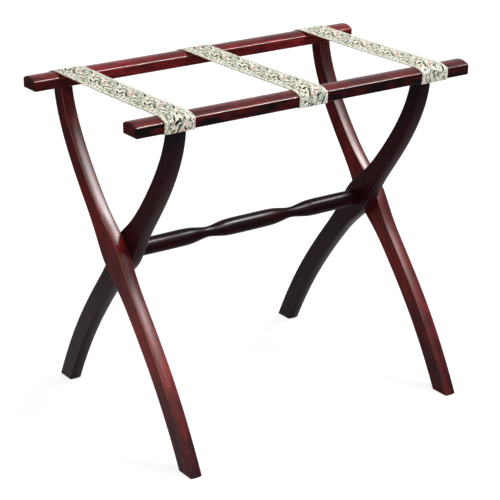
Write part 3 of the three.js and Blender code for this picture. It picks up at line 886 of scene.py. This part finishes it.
def make_jacquard():
    """A woven strap: scrolls, dark leaves and a rose on cream, over fine trailing linework."""
    material, tree, shader = new_material("jacquard")
    cloth = scaled(tree, vector_of(tree, "cloth"), (1000, 1000, 1000))
    along, across, _ = parts_of(tree, cloth)

    def vector_math(operation, *values):
        node = tree.nodes.new("ShaderNodeVectorMath")
        node.operation = operation
        for entry, value in zip(node.inputs, values):
            plug(tree, entry, value)
        return node.outputs["Value" if operation == "LENGTH" else "Vector"]

    def paint(under, amount, ink):
        return mixed(tree, amount, under, ink)

    # The same place round a cylinder, so that what is drawn by noise repeats as well
    turn = along * (2 * math.pi / REPEAT)
    around = tree.nodes.new("ShaderNodeCombineXYZ")
    radius = REPEAT / (2 * math.pi)
    plug(tree, around.inputs[0], turn.math("COSINE") * radius)
    plug(tree, around.inputs[1], turn.math("SINE") * radius)
    plug(tree, around.inputs[2], across)
    around = around.outputs[0]

    ground = noise(tree, around, 0.06, 1.0).step(0.42, 0.6, 0.0, 0.6)
    tone = mixed(tree, ground, CREAM, STRAW)

    # Loose tendrils: contour lines of smooth fields
    for scale, level in ((0.1, 0.58), (0.1, 0.42), (0.15, 0.5)):
        tendril = (noise(tree, around, scale, 0.0, 0.5, 0.5) - level).size()
        tone = paint(tone, tendril.step(0.008, 0.022, 0.7, 0.0), MOSS)

    # A vine with a second line beside it
    vine = across - ((along - VINE_START) * (2 * math.pi / REPEAT)).math("SINE") * VINE_SWING
    tone = paint(tone, (vine - 1.4).size().step(1.2, 1.6, 0.7, 0.0), SAGE)
    tone = paint(tone, vine.size().step(0.4, 0.8, 0.9, 0.0), MOSS)
    tone = paint(tone, (vine - 2.8).size().step(0.2, 0.5, 0.9, 0.0), MOSS)

    # Leaves and petals
    wobble = noise(tree, around, 0.25, 2.0, 0.6)
    drawn = tree.nodes.new("ShaderNodeCombineXYZ")
    plug(tree, drawn.inputs[0], along + (wobble - 0.5) * 3.0)
    plug(tree, drawn.inputs[1], across - (wobble - 0.5) * 3.0)
    drawn = drawn.outputs[0]
    def reach(u, v, long, wide, degrees):
        """How far out from the middle of an oval, with 1 at its edge."""
        high = (u + REPEAT / 2, 1000, 1000)
        low = (u - REPEAT / 2, -1000, -1000)
        near = tree.nodes.new("ShaderNodeMapping")
        near.vector_type = "TEXTURE"
        plug(tree, near.inputs["Vector"], vector_math("WRAP", drawn, high, low))
        near.inputs["Location"].default_value = (u, v, 0)
        near.inputs["Rotation"].default_value = (0, 0, math.radians(degrees))
        near.inputs["Scale"].default_value = (long, wide, 1)
        return Field(tree, vector_math("LENGTH", near.outputs[0]))

    for oval in SCROLLS:
        out = reach(*oval)
        line = 0.5 / oval[3]
        tone = paint(tone, out.step(1 - line, 1, 0.4, 0.0), SAGE)
        tone = paint(tone, (out - 1).size().step(line * 0.6, line * 1.3, 0.95, 0.0), MOSS)
    for *oval, ink in STROKES:
        tone = paint(tone, reach(*oval).step(0.85, 1.1, 1.0, 0.0), ink)

    # Dashed borders
    edge = (across.size() - 22.6).size().step(0.3, 0.6, 0.7, 0.0)
    dash = (along / 6.5).math("FRACT").step(0.5, 0.6, 1.0, 0.0)
    tone = paint(tone, edge * dash, MOSS)

    # Threads, with painted shade in the hollows between them
    warp = (across * (2 * math.pi / 0.9)).math("SINE")
    weft = (along * (2 * math.pi / 0.7)).math("SINE")
    thread = warp * weft
    tone = mixed(tree, thread.step(-1.0, 1.0, 0.06, 0.0), tone, INK)
    plug(tree, shader.inputs["Base Color"], tone)
    plug(tree, shader.inputs["Normal"], bump(tree, thread, 0.12 * MM, 0.4))
    shader.inputs["Roughness"].default_value = 0.85
    shader.inputs["Specular IOR Level"].default_value = 0.0
    return material


# Stage

def make_camera():
    azimuth = math.radians(CAMERA_AZIMUTH)
    elevation = math.radians(CAMERA_ELEVATION)
    right = Vector((math.cos(azimuth), math.sin(azimuth), 0))
    level = math.cos(elevation)
    back = Vector((math.sin(azimuth) * level, -math.cos(azimuth) * level, math.sin(elevation)))
    up = back.cross(right)
    tilt = Matrix.Rotation(math.radians(CAMERA_ROLL), 3, back)
    right = tilt @ right
    up = tilt @ up
    place = CAMERA_TARGET + right * CAMERA_OFFSET.x + up * CAMERA_OFFSET.y + back * CAMERA_OFFSET.z
    data = bpy.data.cameras.new("camera")
    data.sensor_width = SENSOR
    data.lens = FOCAL_PIXELS / IMAGE_SIDE * SENSOR
    data.clip_end = 100
    camera = bpy.data.objects.new("camera", data)
    turn = Matrix((right, up, back)).transposed().to_4x4()
    camera.matrix_world = Matrix.Translation(place) @ turn
    bpy.context.scene.collection.objects.link(camera)
    bpy.context.scene.camera = camera


def seen_directly(tree):
    """1 for what the camera sees straight, in a reflection or through glass, and 0 for other light."""
    path = tree.nodes.new("ShaderNodeLightPath")
    seen = Field(tree, path.outputs["Is Camera Ray"])
    for kind in ("Is Glossy Ray", "Is Transmission Ray"):
        seen = seen.math("MAXIMUM", Field(tree, path.outputs[kind]))
    return seen


def make_floor():
    """A pale floor that keeps the stand's soft shadow."""
    bpy.ops.mesh.primitive_plane_add(size=60)
    floor = bpy.context.object
    floor.name = "floor"
    material, tree, shader = new_material("floor")
    shader.inputs["Base Color"].default_value = (0.35, 0.35, 0.35, 1)
    shader.inputs["Roughness"].default_value = 1.0
    shader.inputs["Specular IOR Level"].default_value = 0.0
    shader.inputs["Emission Color"].default_value = (1, 1, 1, 1)
    place = tree.nodes.new("ShaderNodeNewGeometry").outputs["Position"]
    away = tree.nodes.new("ShaderNodeVectorMath")
    away.operation = "LENGTH"
    plug(tree, away.inputs[0], place)
    near = Field(tree, away.outputs["Value"]).step(0.45, 1.1, 1.0, 0.0)
    path = tree.nodes.new("ShaderNodeLightPath")
    straight = Field(tree, path.outputs["Is Camera Ray"])
    even = straight * near.step(0.0, 1.0, 0.88, 0.78)
    glow = seen_directly(tree) * (near * 0.78).math("MAXIMUM", even)
    plug(tree, shader.inputs["Emission Strength"], glow)
    floor.data.materials.append(material)


def make_world():
    world = bpy.data.worlds.new("studio")
    world.use_nodes = True
    tree = world.node_tree
    back = tree.nodes["Background"]
    back.inputs["Color"].default_value = (1, 1, 1, 1)
    plug(tree, back.inputs["Strength"], seen_directly(tree).step(0, 1, 0.3, 1.0))
    bpy.context.scene.world = world


def add_softbox(name, place, target, size, power, only_gloss=False):
    data = bpy.data.lights.new(name, "AREA")
    data.shape = "RECTANGLE"
    data.size, data.size_y = size
    data.energy = power
    lamp = bpy.data.objects.new(name, data)
    lamp.location = place
    towards = Vector(target) - Vector(place)
    lamp.rotation_euler = towards.to_track_quat("-Z", "Y").to_euler()
    lamp.visible_diffuse = not only_gloss
    bpy.context.scene.collection.objects.link(lamp)


def make_stage():
    make_camera()
    make_floor()
    make_world()
    add_softbox("top", (0.2, -0.2, 2.4), (0, 0, 0.3), (2.0, 2.0), 18)
    add_softbox("key", (1.41, -0.99, 2.76), (0, 0, 0.3), (0.9, 0.9), 40)
    add_softbox("side", (-2.2, -0.7, 0.8), (0, 0, 0.2), (1.2, 1.2), 11)
    add_softbox("front", (0.4, -2.6, 1.0), (0, 0, 0.4), (1.6, 1.0), 19)
    add_softbox("gloss", (1.05, -1.12, 2.68), (0, 0, 0.3), (2.0, 0.9), 1350, only_gloss=True)
    bpy.context.scene.view_settings.view_transform = "Standard"


# Assembly

rail_mahogany = make_mahogany("rail_mahogany", RAIL_WOOD, EDGE_HIGHLIGHT_WOOD, 0.08, 0.2, 0.26)
leg_mahogany = make_mahogany("leg_mahogany", LEG_WOOD, EDGE_HIGHLIGHT_WOOD, 0.05, 0.3, 0.36)
# The inner legs' wood: painted shade, with the bluish cast of a painted reflection
shaded_inner_mahogany = make_mahogany("shaded_inner_mahogany", SHADED_INNER_WOOD, EDGE_HIGHLIGHT_DARK_WOOD, 0.045, 0.3, 0.36)
turned_mahogany = make_mahogany("turned_mahogany", TURNED_WOOD, EDGE_HIGHLIGHT_DARK_WOOD, 0.028, 0.26, 0.32)
beech = make_beech()
nylon = make_nylon()
brass = make_brass()
jacquard = make_jacquard()

make_stage()

add_rail("rear_rail", 1, (0.0, 0.0, 0.0), REAR_STAIN_AND_SHADE)
add_rail("front_rail", -1, (0.9, 0.3, 0.1), FRONT_STAIN_AND_SHADE)
for i, (node, facing, body, wood, stains_and_shade) in enumerate(
    (
        ("outer_leg_left", 1, OUTER, leg_mahogany, OUTER_LEFT_STAIN_AND_SHADE),
        ("outer_leg_right", 1, OUTER, leg_mahogany, OUTER_RIGHT_STAIN_AND_SHADE),
        ("inner_leg_left", -1, INNER, shaded_inner_mahogany, INNER_LEG_STAIN_AND_SHADE),
        ("inner_leg_right", -1, INNER, shaded_inner_mahogany, INNER_LEG_STAIN_AND_SHADE),
    )
):
    add_leg(node, facing, body, (1.7 + 0.8 * i, 0.2 * i, 0.37 * i), wood, stains_and_shade)
add_stretcher((5.3, 0.5, 0.2))
for side in ("left", "centre", "right"):
    add_strap(side)

for name, node in frame["nodes"].items():
    if name.startswith("tack_"):
        add_tack(name, OUTER if "_rear_" in name else INNER)
    elif "_dowel_" in name:
        node.data.materials.clear()
        node.data.materials.append(beech)
    elif name.startswith("pivot_washer"):
        node.data.materials.clear()
        node.data.materials.append(nylon)

bpy.context.view_layer.update()
